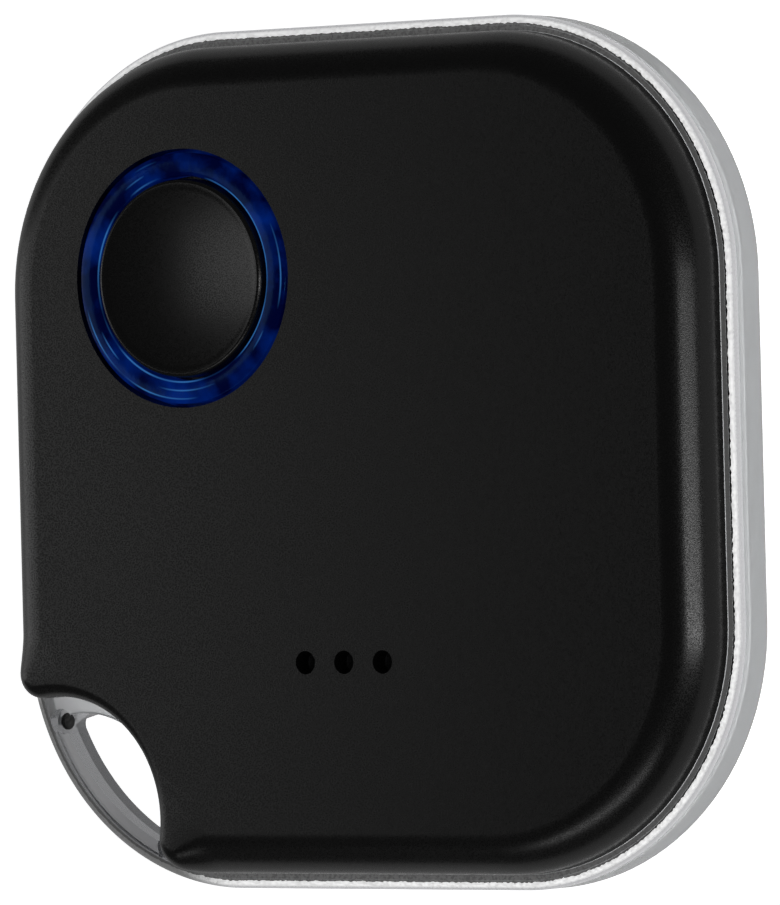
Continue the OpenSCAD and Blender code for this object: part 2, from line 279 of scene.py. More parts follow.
class Skin:
    """A closed mesh put together from rings of points."""

    def __init__(self) -> None:
        """Starts with an empty mesh."""
        self.bm = bmesh.new()

    def ring(self, points: list[Vector], height: float | list[float]) -> Ring:
        """Adds a closed ring of points.

        Args:
            points: Flat points, in order.
            height: One height for all, or one for each.

        Returns:
            The ring's vertices.
        """
        heights = height if isinstance(height, list) else [height] * len(points)
        return [self.bm.verts.new((p.x, p.y, z)) for p, z in zip(points, heights)]

    def bridge(self, a: Ring, b: Ring) -> None:
        """Joins two rings of the same length with a band of quads."""
        n = len(a)
        for i in range(n):
            j = (i + 1) % n
            self.bm.faces.new((a[i], a[j], b[j], b[i]))

    def stack(self, rings: list[Ring]) -> None:
        """Joins each ring to the next."""
        for a, b in zip(rings, rings[1:]):
            self.bridge(a, b)

    def shell(self, rings: list[Ring]) -> None:
        """Joins each ring to the next and closes both ends."""
        self.stack(rings)
        self.cap(rings[0])
        self.cap(rings[-1])

    def cap(self, *loops: Ring) -> None:
        """Fills the flat area between an outer ring and the rings inside it."""
        edges = []
        for loop in loops:
            for i, v in enumerate(loop):
                w = loop[(i + 1) % len(loop)]
                edges.append(self.bm.edges.get((v, w)) or self.bm.edges.new((v, w)))
        bmesh.ops.triangle_fill(self.bm, use_beauty=True, use_dissolve=False, edges=edges)

    def revolve(self, profile: list[Pair], middle: Vector, count: int = 128) -> None:
        """Turns a profile about an upright axis.

        Args:
            profile: (radius, height) pairs. The first and last lie on the axis, or they meet.
            middle: Where the axis stands.
            count: How many steps there are in a turn.
        """
        closed = profile[0] == profile[-1]
        body = profile[:-1] if closed else profile[1:-1]
        rings = [self.ring(circle(middle, r, count), z) for r, z in body]
        self.stack(rings)
        if closed:
            self.bridge(rings[-1], rings[0])
            return
        for ring, (_, z) in ((rings[0], profile[0]), (rings[-1], profile[-1])):
            tip = self.bm.verts.new((middle.x, middle.y, z))
            for i, v in enumerate(ring):
                self.bm.faces.new((v, ring[(i + 1) % len(ring)], tip))

    def finish(self, name: str) -> bpy.types.Object:
        """Turns the rings into an object with smooth shading and crisp edges.

        Args:
            name: The object's name.

        Returns:
            The new object.
        """
        bmesh.ops.remove_doubles(self.bm, verts=self.bm.verts, dist=WELD)
        bmesh.ops.recalc_face_normals(self.bm, faces=self.bm.faces)
        mesh = bpy.data.meshes.new(name)
        self.bm.to_mesh(mesh)
        self.bm.free()
        piece = bpy.data.objects.new(name, mesh)
        bpy.context.scene.collection.objects.link(piece)
        smooth(piece)
        return piece


def smooth(piece: bpy.types.Object) -> None:
    """Shades a piece smooth, with crisp edges and normals that favour its large faces."""
    piece.data.shade_smooth()
    piece.data.set_sharp_from_angle(angle=CREASE)
    even = piece.modifiers.new("even_normals", "WEIGHTED_NORMAL")
    even.keep_sharp = True


def carve(piece: bpy.types.Object, tool: bpy.types.Object, how: str = "DIFFERENCE") -> None:
    """Cuts a tool out of a piece, or joins it on, and throws the tool away.

    Args:
        piece: The piece that changes.
        tool: The shape that is used up.
        how: The boolean's name.
    """
    for worked in (tool, piece):
        worked.modifiers.clear()
    boolean = piece.modifiers.new("carve", "BOOLEAN")
    boolean.operation = how
    boolean.solver = "EXACT"
    boolean.object = tool
    with bpy.context.temp_override(object=piece, active_object=piece, selected_objects=[piece]):
        bpy.ops.object.modifier_apply(modifier=boolean.name)
    bpy.data.objects.remove(tool)


# ---------------------------------------------------------------- finishes


def grey(level: float) -> Colour:
    """Returns a neutral colour."""
    return level, level, level


class Recipe:
    """A material's node tree while it is put together."""

    def __init__(self, name: str) -> None:
        """Starts an empty material."""
        self.material = bpy.data.materials.new(name)
        self.material.use_nodes = True
        self.tree = self.material.node_tree
        self.tree.nodes.clear()

    def node(self, kind: str, values: dict[str, object] | None = None,
             **settings: object) -> bpy.types.Node:
        """Adds a node.

        Args:
            kind: The node's type name, without the leading ShaderNode.
            values: Input name to a constant, or to an output socket that feeds it.
            **settings: The node's own properties.

        Returns:
            The node.
        """
        made = self.tree.nodes.new("ShaderNode" + kind)
        for key, value in settings.items():
            setattr(made, key, value)
        for key, value in (values or {}).items():
            self.feed(made.inputs[key], value)
        return made

    def feed(self, socket: Socket, value: object) -> None:
        """Sets an input to a constant or links an output to it."""
        if isinstance(value, Socket):
            self.tree.links.new(value, socket)
        elif isinstance(value, tuple) and len(value) == 3 and socket.type == "RGBA":
            socket.default_value = (*value, 1.0)
        else:
            socket.default_value = value

    def place(self) -> Socket:
        """Returns the coordinates that patterns are laid out in."""
        return self.node("TexCoord").outputs["Object"]

    def noise(self, size: float, detail: float = 2.0) -> Socket:
        """Returns a soft noise whose spots are about that wide."""
        made = self.node(
            "TexNoise", {"Vector": self.place(), "Scale": 1 / size, "Detail": detail}
        )
        return made.outputs["Fac"]

    def combine(self, operation: str, a: Socket, b: Socket, **settings: object) -> Socket:
        """Returns what that operation makes of two values."""
        made = self.node("Math", operation=operation, **settings)
        self.feed(made.inputs[0], a)
        self.feed(made.inputs[1], b)
        return made.outputs["Value"]

    def choose(self, fac: Socket, first: bpy.types.Node, second: bpy.types.Node) -> Socket:
        """Returns the first surface at 0, the second at 1 and a blend between."""
        made = self.node("MixShader")
        self.feed(made.inputs[0], fac)
        self.feed(made.inputs[1], first.outputs["BSDF"])
        self.feed(made.inputs[2], second.outputs["BSDF"])
        return made.outputs["Shader"]

    def span(self, fac: Socket, low: float, high: float) -> Socket:
        """Returns a 0 to 1 value stretched from low to high."""
        made = self.node("MapRange", {"Value": fac, "To Min": low, "To Max": high})
        return made.outputs["Result"]

    def stretch(self, fac: Socket, start: float, stop: float, high: float = 1.0) -> Socket:
        """Returns 0 below start, rising to high at stop."""
        made = self.node("MapRange", {
            "Value": fac, "From Min": start, "From Max": stop, "To Min": 0.0, "To Max": high,
        })
        return made.outputs["Result"]

    def in_loop(self) -> Socket:
        """Returns 1 in the key loop's corner and 0 elsewhere."""
        parts = self.node("SeparateXYZ", {"Vector": self.place()}).outputs
        return self.stretch(self.combine("ADD", parts["X"], parts["Y"]), *LOOP_FADE)

    def mix(self, fac: Socket, a: Colour | Socket, b: Colour | Socket) -> Socket:
        """Returns a colour between a and b."""
        made = self.node("MixRGB", {"Fac": fac, "Color1": a, "Color2": b})
        return made.outputs["Color"]

    def bump(self, height: Socket, depth: float, strength: float = 1.0) -> Socket:
        """Returns a normal raised by a 0 to 1 height over that depth."""
        made = self.node("Bump", {"Height": height, "Distance": depth, "Strength": strength})
        return made.outputs["Normal"]

    def output(self, surface: Socket) -> bpy.types.Material:
        """Ends the tree with that surface and returns the material."""
        self.node("OutputMaterial", {"Surface": surface})
        return self.material


@dataclass(frozen=True)
class SparkPlastic:
    """Moulded plastic with the fine sand of a spark-eroded mould."""

    name: str
    colour: Colour
    grain: float = 0.055 * MM
    depth: float = 0.003 * MM
    roughness: float = 0.25

    def make(self) -> bpy.types.Material:
        """Returns the material."""
        r = Recipe(self.name)
        sand = r.noise(self.grain, 3.0)
        cloud = r.noise(6 * MM, 3.0)
        darker = tuple(0.8 * c for c in self.colour)
        surface = r.node("BsdfPrincipled", {
            "Base Color": r.mix(cloud, darker, self.colour),
            "Roughness": r.span(r.stretch(sand, 0.42, 0.6), self.roughness - 0.05,
                                self.roughness + 0.12),
            "Normal": r.bump(sand, self.depth, 1.0),
            "IOR": 1.49,
        })
        return r.output(surface.outputs["BSDF"])


@dataclass(frozen=True)
class ClearPlastic:
    """Polished clear plastic with a faint haze in it, greyed by painted shade in the key loop's
    corner. It lets the lamps through.
    """

    name: str
    tint: Colour
    # Colour of the painted shade in the key loop's corner.
    loop_painted_shade: Colour = (0.36, 0.36, 0.37)
    clear: float = 0.6
    ripple: float = 5 * MM

    def make(self) -> bpy.types.Material:
        """Returns the material."""
        r = Recipe(self.name)
        wave = r.bump(r.noise(self.ripple, 1.0), 0.01 * MM, 0.3)
        even = r.mix(r.noise(8 * MM), self.tint, tuple(0.96 * c for c in self.tint))
        glass = r.node("BsdfPrincipled", {
            # In the key loop's corner the colour turns to painted shade.
            "Base Color": r.mix(r.in_loop(), even, self.loop_painted_shade),
            "Transmission Weight": self.clear,
            "Roughness": 0.04,
            "IOR": 1.49,
            "Normal": wave,
        })
        clear = r.node("BsdfTransparent", {"Color": self.tint})
        shadow = r.node("LightPath").outputs["Is Shadow Ray"]
        return r.output(r.choose(shadow, glass, clear))


@dataclass(frozen=True)
class PaintedEdgeLightAndShade:
    """Painted light and shade on the clear plastic's edges: a glowing painted highlight on the rim,
    painted shade and painted reflection of the black cover on the ledge, and a dark painted-shade
    disc in each hollow.
    """

    name: str
    # light is the band's painted colour, dark its painted shade towards the right side, glow its
    # painted glow, loop its painted shade in the key loop's corner and foot the grey tone of its
    # lower part.
    light: Colour
    dark: Colour
    glow: float
    loop: Colour
    foot: Colour | None = None
    foot_top: float = 3.5 * MM
    speck: float = 0.12 * MM
    painted_side_shade: float = 0.0

    def make(self) -> bpy.types.Material:
        """Returns the material."""
        r = Recipe(self.name)
        speckle = r.stretch(r.noise(self.speck, 4.0), 0.38, 0.6)
        place = r.node("SeparateXYZ", {"Vector": r.place()})
        # Painted shade: towards the right side the colour turns dark, as strongly as the piece's
        # share of it.
        side = r.stretch(place.outputs["X"], 10 * MM, 16.5 * MM, self.painted_side_shade)
        colour = r.mix(speckle, tuple(0.7 * c for c in self.light), self.light)
        colour = r.mix(side, colour, self.dark)
        # Below foot_top the band takes the foot colour, a grey tone that blends the painted
        # highlight into the side wall.
        if self.foot:
            height = r.stretch(place.outputs["Z"], self.foot_top - 0.06 * MM, self.foot_top)
            colour = r.mix(height, self.foot, colour)
        # Painted shade: in the key loop's corner the colour turns to the loop colour.
        colour = r.mix(r.in_loop(), colour, self.loop)
        surface = r.node("BsdfPrincipled", {
            "Base Color": colour,
            "Roughness": r.span(speckle, 0.2, 0.4),
            "IOR": 1.49,
            # The colour also glows, as painted light.
            "Emission Color": colour,
            "Emission Strength": self.glow,
        })
        return r.output(surface.outputs["BSDF"])


@dataclass(frozen=True)
class LightGuide:
    """Deep blue see-through plastic, with painted light in it: a glow that brightens in random
    patches, and painted glints at set radii.
    """

    name: str
    dark: Colour
    bright: Colour
    middle: Pair = (-7.75 * MM, 7.65 * MM)
    sheen: Colour = (0.1, 0.4, 1.0)
    streak: float = 1.6 * MM
    painted_glint: Colour = (0.05, 0.24, 0.66)
    painted_glint_w: float = 0.05 * MM
    painted_glint_size: float = 2.6
    glow: float = 0.45
    painted_glints: tuple[tuple[float, float, float], ...] = (
        (4.34 * MM, 0.4, 0.62), (4.7 * MM, 0.54, 0.64), (5.05 * MM, 0.54, 0.66)
    )

    def make(self) -> bpy.types.Material:
        """Returns the material."""
        r = Recipe(self.name)
        # Painted glow: the colour, which also glows, brightens in random streaky patches.
        cloud = r.mix(r.stretch(r.noise(self.streak, 4.0), 0.4, 0.7), self.dark, self.bright)
        flat = r.node("VectorMath", operation="MULTIPLY")
        r.feed(flat.inputs[0], r.place())
        flat.inputs[1].default_value = (1.0, 1.0, 0.0)
        away = r.node("VectorMath", operation="DISTANCE")
        r.feed(away.inputs[0], flat.outputs["Vector"])
        away.inputs[1].default_value = (*self.middle, 0.0)
        radius = away.outputs["Value"]
        # Painted glints: thin bright rings at set radii, shown in random patches.
        for number, (at, start, stop) in enumerate(self.painted_glints):
            rise = r.stretch(radius, at - self.painted_glint_w, at)
            fall = r.stretch(radius, at + self.painted_glint_w, at)
            patch = r.stretch(r.noise((self.painted_glint_size + number) * MM, 1.0), start, stop)
            seen = r.combine("MULTIPLY", r.combine("MULTIPLY", rise, fall), patch)
            cloud = r.mix(seen, cloud, self.painted_glint)
        surface = r.node("BsdfPrincipled", {
            "Base Color": cloud,
            "Roughness": 0.12,
            "IOR": 1.5,
            "Specular IOR Level": 0.25,
            "Specular Tint": self.sheen,
            "Emission Color": cloud,
            "Emission Strength": self.glow,
            "Normal": r.bump(r.noise(0.6 * MM, 3.0), 0.02 * MM, 0.35),
        })
        return r.output(surface.outputs["BSDF"])


@dataclass(frozen=True)
class Metal:
    """Stamped or plated sheet metal with fine drawn lines."""

    name: str
    colour: Colour
    roughness: float = 0.25
    line: float = 0.05 * MM
    stretch: float = 30.0

    def make(self) -> bpy.types.Material:
        """Returns the material."""
        r = Recipe(self.name)
        drawn = r.node("Mapping", {"Vector": r.place(), "Scale": (1.0, self.stretch, 1.0)})
        lines = r.node("TexNoise", {
            "Vector": drawn.outputs["Vector"], "Scale": 1 / (self.stretch * self.line),
            "Detail": 3.0,
        }).outputs["Fac"]
        worn = tuple(0.82 * c for c in self.colour)
        surface = r.node("BsdfPrincipled", {
            "Base Color": r.mix(r.noise(3 * MM, 4.0), worn, self.colour),
            "Metallic": 1.0,
            "Roughness": r.span(lines, self.roughness - 0.08, self.roughness + 0.15),
            "Normal": r.bump(lines, 0.004 * MM, 0.4),
        })
        return r.output(surface.outputs["BSDF"])


@dataclass(frozen=True)
class Moulded:
    """Plain moulded, fired or cast stuff: plastic, ceramic, resin, foam or ferrite."""

    name: str
    colour: Colour
    roughness: float = 0.5
    grain: float = 0.15 * MM
    depth: float = 0.01 * MM
    contrast: float = 0.75

    def make(self) -> bpy.types.Material:
        """Returns the material."""
        r = Recipe(self.name)
        grain = r.noise(self.grain, 4.0)
        darker = tuple(self.contrast * c for c in self.colour)
        surface = r.node("BsdfPrincipled", {
            "Base Color": r.mix(grain, darker, self.colour),
            "Roughness": r.span(grain, self.roughness - 0.1, self.roughness + 0.1),
            "Normal": r.bump(grain, self.depth, 0.5),
        })
        return r.output(surface.outputs["BSDF"])


@dataclass(frozen=True)
class Woven:
    """A fine square weave."""

    name: str
    colour: Colour
    pitch: float = 0.12 * MM

    def make(self) -> bpy.types.Material:
        """Returns the material."""
        r = Recipe(self.name)
        threads = []
        for axis in ("X", "Y"):
            wave = r.node("TexWave", {"Vector": r.place(), "Scale": 0.314 / self.pitch})
            wave.bands_direction = axis
            threads.append(wave.outputs["Fac"])
        weave = r.combine("MAXIMUM", *threads)
        gap = tuple(0.15 * c for c in self.colour)
        surface = r.node("BsdfPrincipled", {
            "Base Color": r.mix(weave, gap, self.colour),
            "Roughness": 0.7,
            "Normal": r.bump(weave, 0.03 * MM),
        })
        return r.output(surface.outputs["BSDF"])


@dataclass(frozen=True)
class SolderMask:
    """Green solder mask with copper tracks showing through it."""

    name: str
    mask: Colour
    track: Colour
    pitch: float = 1.3 * MM

    def make(self) -> bpy.types.Material:
        """Returns the material."""
        r = Recipe(self.name)
        cells = r.node("TexVoronoi", {"Vector": r.place(), "Scale": 1 / self.pitch},
                       distance="MANHATTAN", feature="F1")
        edge = r.node("ValToRGB", {"Fac": cells.outputs["Distance"]})
        edge.color_ramp.interpolation = "CONSTANT"
        edge.color_ramp.elements[0].color = (0, 0, 0, 1)
        edge.color_ramp.elements[1].position = 0.55
        tracks = edge.outputs["Color"]
        surface = r.node("BsdfPrincipled", {
            "Base Color": r.mix(tracks, self.mask, self.track),
            "Roughness": r.span(r.noise(0.4 * MM), 0.2, 0.35),
            "Normal": r.bump(tracks, 0.02 * MM, 0.6),
        })
        return r.output(surface.outputs["BSDF"])


Finish = (
    SparkPlastic | ClearPlastic | PaintedEdgeLightAndShade | LightGuide | Metal | Moulded | Woven | SolderMask
)


class Stock:
    """The finishes of the whole tag. Most are named as the record's slots are."""

    FINISHES: tuple[Finish, ...] = (
        ClearPlastic("clear_plastic", (0.84, 0.85, 0.86)),
        # Painted light and shade bands: rim_light is a glowing painted highlight on the rim,
        # seam_shade and ledge_shade are painted shade and painted reflection of the black cover on
        # the ledge, darker towards the right side and with a painted glow, and hollow_shade is a
        # dark painted-shade disc. Their fourth colour is painted shade in the key loop's corner.
        PaintedEdgeLightAndShade("rim_light", grey(0.9), grey(0.9), 0.75, grey(0.14), (0.4, 0.4, 0.41)),
        PaintedEdgeLightAndShade("seam_shade", grey(0.2), grey(0.002), 0.3, grey(0.1), painted_side_shade=1.0),
        PaintedEdgeLightAndShade("ledge_shade", grey(0.12), grey(0.09), 0.6, grey(0.13), painted_side_shade=1.0),
        PaintedEdgeLightAndShade("hollow_shade", grey(0.02), grey(0.02), 0.0, grey(0.02)),
        SparkPlastic("black_plastic", grey(0.0035)),
        LightGuide("blue_light_guide", (0.0, 0.0008, 0.028), (0.0, 0.018, 0.19)),
        Woven("mesh", (0.06, 0.06, 0.065)),
        Moulded("foam", (0.04, 0.04, 0.042), 0.9, 0.3 * MM, 0.08 * MM, 0.4),
        SolderMask("board", (0.004, 0.045, 0.022), (0.012, 0.09, 0.04)),
        Metal("cell_steel", (0.62, 0.63, 0.64)),
        Moulded("seal", grey(0.02)),
        Moulded("cell_fill", (0.03, 0.03, 0.032), 0.9),
        Metal("contact_metal", (0.75, 0.6, 0.32), 0.2),
        Moulded("switch_plastic", (0.02, 0.02, 0.022)),
        Metal("switch_metal", (0.58, 0.58, 0.59), 0.3),
        Moulded("white_plastic", (0.75, 0.75, 0.72)),
        Moulded("lamp", (0.8, 0.76, 0.45), 0.2),
        Moulded("sounder_plastic", (0.012, 0.012, 0.013), 0.35),
        Metal("sounder_brass", (0.7, 0.55, 0.25)),
        Moulded("chip_resin", (0.01, 0.01, 0.011), 0.55),
        Metal("crystal_metal", (0.64, 0.64, 0.62), 0.2),
        Moulded("antenna_ceramic", (0.75, 0.74, 0.7), 0.3, contrast=0.92),
        Moulded("ferrite", (0.06, 0.06, 0.065), 0.6),
        Moulded("capacitor_ceramic", (0.32, 0.2, 0.11), 0.4),
        Moulded("resistor_ceramic", grey(0.012), 0.3),
        Metal("gold_pad", (0.75, 0.53, 0.2), 0.2),
    )

    def __init__(self) -> None:
        """Lists the finishes by name, with nothing made yet."""
        self.known = {finish.name: finish for finish in self.FINISHES}
        self.made: dict[str, bpy.types.Material] = {}

    def get(self, slot: str) -> bpy.types.Material:
        """Returns the material of that name, made the first time it is asked for."""
        if slot not in self.made:
            self.made[slot] = self.known[slot].make()
        return self.made[slot]

    def dress(self, piece: bpy.types.Object, slot: str) -> None:
        """Gives a piece its finish."""
        piece.data.materials.clear()
        piece.data.materials.append(self.get(slot))


def install(piece: bpy.types.Object, body: Body, slot: str, node: str, stock: Stock,
            finish: str | None = None) -> None:
    """Dresses a piece, sets it on its body and lets it stand for a CAD node.

    Args:
        piece: The finished piece.
        body: What it moves with.
        slot: Its finish.
        node: The CAD node that it stands for.
        stock: Where finishes come from.
        finish: Its finish where the slot has more than one.
    """
    stock.dress(piece, finish or slot)
    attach(piece, body.value)
    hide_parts(node)
    LOG.info("%s: %d faces, on %s", piece.name, len(piece.data.polygons), body.value)


# ---------------------------------------------------------------- the tag


@dataclass(frozen=True)
class ButtonPlace:
    """Where the button stands and how wide its hole is."""

    middle: Vector
    hole_r: float


@dataclass
class FrontCover:
    """The black cover: soft front edge, lip, key cut, button hole and sound holes."""

    outline: CaseOutline
    button: ButtonPlace
    inset: float = 0.65 * MM
    edge_r: float = 1.8 * MM
    cut_edge_r: float = 0.6 * MM
    cut: Cut = Cut(5.17 * MM, 1.3 * MM)
    lip_inset: float = 1.88 * MM
    lip_t: float = 0.62 * MM
    lip_depth: float = 1.7 * MM
    joint_z: float = 3.52 * MM
    wall: float = 0.9 * MM
    foot_r: float = 0.06 * MM
    hole_edge: float = 0.12 * MM
    sound_r: float = 0.485 * MM
    sound_edge: float = 0.05 * MM
    sound_pitch: float = 1.93 * MM
    sound_y: float = -8.48 * MM
    lip_bite: float = 6.18 * MM
    inside_bite: float = 6.9 * MM
    ceiling_soft: float = 0.6 * MM
    edge_steps: int = 18

    def top_rings(self, skin: Skin, top: float) -> list[Ring]:
        """Builds the soft front edge, from the flat of the face to the upright side.

        Args:
            skin: The mesh that is being built.
            top: Height of the face.

        Returns:
            The edge's rings.
        """
        places = self.outline.loop(self.inset, self.cut)
        rings = []
        for across, drop in quarter(1.0, self.edge_steps):
            points, heights = [], []
            for p in places:
                radius = self.edge_r + (self.cut_edge_r - self.edge_r) * ease(p.cut)
                points.append(p.at + p.inward * radius * across)
                heights.append(top - radius * drop)
            rings.append(skin.ring(points, heights))
        return rings

    def inner_rings(self, skin: Skin, ceiling: float) -> list[Ring]:
        """Builds the foot, the lip and the inside of the cover, down and up again.

        Args:
            skin: The mesh that is being built.
            ceiling: Height of the front wall's inner face.

        Returns:
            The rings, ending at the flat of the ceiling.
        """
        foot, low = self.foot_r, self.joint_z - self.lip_depth
        inner = self.lip_inset + self.lip_t
        bite, lip_bite, inside_bite = self.cut.radius, self.lip_bite, self.inside_bite
        soft = self.ceiling_soft
        plan = [
            (self.inset, Cut(bite, 1.3 * MM), self.joint_z + foot),
            (self.inset + foot, Cut(bite + foot, 1.24 * MM), self.joint_z),
            (self.lip_inset, Cut(lip_bite, 0.5 * MM), self.joint_z),
            (self.lip_inset, Cut(lip_bite, 0.5 * MM), low + foot),
            (self.lip_inset + foot, Cut(lip_bite + foot, 0.44 * MM), low),
            (inner - foot, Cut(inside_bite - foot, 0.3 * MM), low),
            (inner, Cut(inside_bite, 0.25 * MM), low + foot),
        ]
        plan += [
            (inner + soft - soft * math.cos(math.radians(a)),
             Cut(inside_bite + 0.1 * MM, 0.2 * MM),
             ceiling - soft + soft * math.sin(math.radians(a)))
            for a in steps(0, 90, 6)
        ]
        rings = []
        for inset, cut, z in plan:
            rings.append(skin.ring([p.at for p in self.outline.loop(inset, cut)], z))
        return rings

    def hole(self, skin: Skin, middle: Vector, radius: float, edge: float, top: float,
             ceiling: float, count: int) -> tuple[Ring, ...]:
        """Builds a round hole's wall through the face.

        Args:
            skin: The mesh that is being built.
            middle: The hole's centre.
            radius: The hole's radius.
            edge: Rounding of its front edge.
            top: Height of the face.
            ceiling: Height of the wall's inner face.
            count: Points round the hole.

        Returns:
            The rings at the face and at the ceiling.
        """
        rings = [
            skin.ring(circle(middle, radius + edge - across, count), top - drop)
            for across, drop in quarter(edge, 4)
        ]
        rings.append(skin.ring(circle(middle, radius, count), ceiling))
        skin.stack(rings)
        return rings[0], rings[-1]

    def build(self, stock: Stock) -> None:
        """Builds, dresses and installs the cover.

        Args:
            stock: Where finishes come from.
        """
        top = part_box("front_cover")[1].z
        ceiling = top - self.wall
        skin = Skin()
        outer = self.top_rings(skin, top)
        inner = self.inner_rings(skin, ceiling)
        skin.stack(outer + inner)
        holes = [self.hole(skin, self.button.middle, self.button.hole_r, self.hole_edge, top,
                           ceiling, 128)]
        for i in (-1, 0, 1):
            middle = Vector((i * self.sound_pitch, self.sound_y))
            holes.append(self.hole(skin, middle, self.sound_r, self.sound_edge, top, ceiling, 40))
        skin.cap(outer[0], *[h[0] for h in holes])
        skin.cap(inner[-1], *[h[1] for h in holes])
        install(skin.finish("cover_shell"), Body.COVER, "black_plastic", "front_cover", stock)


@dataclass
class ClearBase:
    """The clear base: soft back, upright rim, key loop and posts."""

    outline: CaseOutline
    joint_z: float = 3.52 * MM
    side_z: float = 1.76 * MM
    back_in: float = 5.2 * MM
    rim_r: float = 0.28 * MM
    wall: float = 1.8 * MM
    floor_in: float = 6.2 * MM
    floor_z: float = 0.75 * MM
    cavity_bite_r: float = 6.1 * MM
    hole_r: float = 4.4 * MM
    loop_bar: float = 1.05 * MM
    bar_t: float = 1.57 * MM
    tip_r: float = 0.45 * MM
    step_in: float = 0.5 * MM
    step_h: float = 0.2 * MM
    step_end: Pair = (-16.25 * MM, -10.95 * MM)
    step_end_r: float = 0.55 * MM
    step_end_h: float = 0.5 * MM
    lens_edge: float = 0.08 * MM
    post_r: float = 1.1 * MM
    pin_r: float = 0.55 * MM
    pin_head_r: float = 0.85 * MM
    pin_head_h: float = 0.3 * MM
    posts: tuple[Pair, ...] = (
        (-13.6, 8.6), (0.5, 13.2), (8.4, 12.6), (8.4, -11.5), (-11.2, -7.4)
    )
    swell_steps: int = 20
    band_t: float = 0.03 * MM
    band_gap: float = 0.004 * MM
    band_steps: int = 240
    film_t: float = 0.012 * MM
    jag: float = 0.055 * MM
    jag_size: float = 0.16 * MM
    # Where the seam and ledge bands of painted shade end, in from the outline.
    seam_in: float = 0.42 * MM
    ledge_in: float = 0.645 * MM
    loop_ledge_in: float = 0.44 * MM
    loop_line: float = -26.6 * MM
    loop_fade: float = 0.4 * MM
    # Radius of the dark painted-shade discs in the loop's two hollows.
    hollow_r: float = 0.36 * MM
    past: float = 1.0 * MM
    clear: float = 0.05 * MM
    mouth_edge: float = 0.05 * MM

    def swell(self, flat_in: float, flat_z: float, side_in: float, side_z: float) -> list[Point]:
        """Returns (inset, height) pairs of a quarter ellipse, from a flat out to an upright side."""
        return [
            (flat_in + (side_in - flat_in) * math.sin(math.radians(a)),
             flat_z + (side_z - flat_z) * (1 - math.cos(math.radians(a))))
            for a in steps(0, 90, self.swell_steps)
        ]

    def body(self) -> bpy.types.Object:
        """Returns the outer shape, solid."""
        skin = Skin()
        line = self.swell(self.back_in, 0.0, 0.0, self.side_z)
        room = self.band_t + self.band_gap
        line += [(0.0, self.joint_z - self.rim_r - self.band_gap)]
        line += [(across + room, self.joint_z - drop - room)
                 for across, drop in quarter(self.rim_r - room, 5)[::-1]]
        line += [(self.rim_r, self.joint_z)]
        skin.shell([skin.ring([p.at for p in self.outline.loop(i)], z) for i, z in line])
        return skin.finish("base_shell")

    def band(self, name: str, line: list[tuple[float, float, float]]) -> bpy.types.Object:
        """Builds a thin closed band round the outline.

        Args:
            name: The band's name.
            line: Inset, height and share of jaggedness of each corner of its section, in order.

        Returns:
            The band.
        """
        fine = replace(self.outline, corner_steps=self.band_steps, side_steps=self.band_steps)
        skin, rings = Skin(), []
        for inset, z, share in line:
            points = []
            for place in fine.loop(inset):
                within = (self.loop_line - place.at.x - place.at.y) / self.loop_fade
                in_loop = ease(min(1.0, max(0.0, within)))
                spot = Vector((place.at.x, place.at.y, 0.0)) / self.jag_size
                jag = share * self.jag * (1 + noise.noise(spot) + 0.6 * noise.noise(spot * 2.7))
                back = max(0.0, inset - self.loop_ledge_in) * in_loop
                points.append(place.at + place.inward * (jag * (1 - in_loop * 0.4) - back))
            rings.append(skin.ring(points, z))
        skin.stack([*rings, rings[0]])
        return skin.finish(name)

    def bands(self, stock: Stock) -> None:
        """Builds thin bands of painted light and shade: a glowing painted highlight on the rim,
        painted shade beside the cover on the ledge, and dark painted-shade discs in the loop's
        hollows.

        Args:
            stock: Where finishes come from.
        """
        top, film, r, t = self.joint_z, self.film_t, self.rim_r, self.band_t
        outer = [(across, top - drop, 0.0) for across, drop in quarter(r, 6)[::-1]]
        inner = [(across + t, top - t - drop, 0.0) for across, drop in quarter(r - t, 6)]
        tip = [(r, top + 2 * film, 0.0), (r, top + 2 * film, 1.0), (r, top + film, 1.0),
               (r - 0.5 * film, top + film, 0.0)]
        rim = self.band("rim_light", [*outer[:-1], *tip, *inner])
        install(rim, Body.BASE, "clear_plastic", "base_tray", stock, "rim_light")
        low, high = top + 0.2 * film, top + 0.8 * film
        # Bands of painted shade on the ledge, from the rim to the cover's edge.
        tones = ("seam_shade", r, self.seam_in), ("ledge_shade", self.seam_in, self.ledge_in)
        for name, start, stop in tones:
            band = self.band(name, [(start + film, low, 0.0), (start + film, high, 0.0),
                                    (stop, high, 0.0), (stop, low, 0.0)])
            install(band, Body.BASE, "clear_plastic", "base_tray", stock, name)
        # Dark painted-shade discs on the floors of the loop's two hollows.
        low = top - self.step_end_h + film
        for number, end in enumerate(self.step_ends(), 1):
            name = f"hollow_shade_{number}"
            shade = self.drum(end, self.hollow_r, low, low + film, 48, name)
            install(shade, Body.BASE, "clear_plastic", "base_tray", stock, "hollow_shade")

    def step_ends(self) -> tuple[Vector, Vector]:
        """Returns the middles of the two round hollows at the ends of the step."""
        return Vector(self.step_end), Vector(self.step_end[::-1])

    def cavity(self) -> bpy.types.Object:
        """Returns the shape of the space inside."""
        line = self.swell(self.floor_in, self.floor_z, self.wall, self.side_z)
        mouth = self.wall - self.mouth_edge
        line += [(self.wall, self.joint_z - self.mouth_edge), (mouth, self.joint_z)]
        line += [(mouth, self.joint_z + self.past)]
        skin = Skin()
        skin.shell([skin.ring([p.at for p in self.outline.loop(i)], z) for i, z in line])
        space = skin.finish("cavity")
        carve(space, self.drum(self.outline.hole, self.cavity_bite_r, -self.past,
                               self.joint_z + 2 * self.past, 160, "key_wall"))
        return space

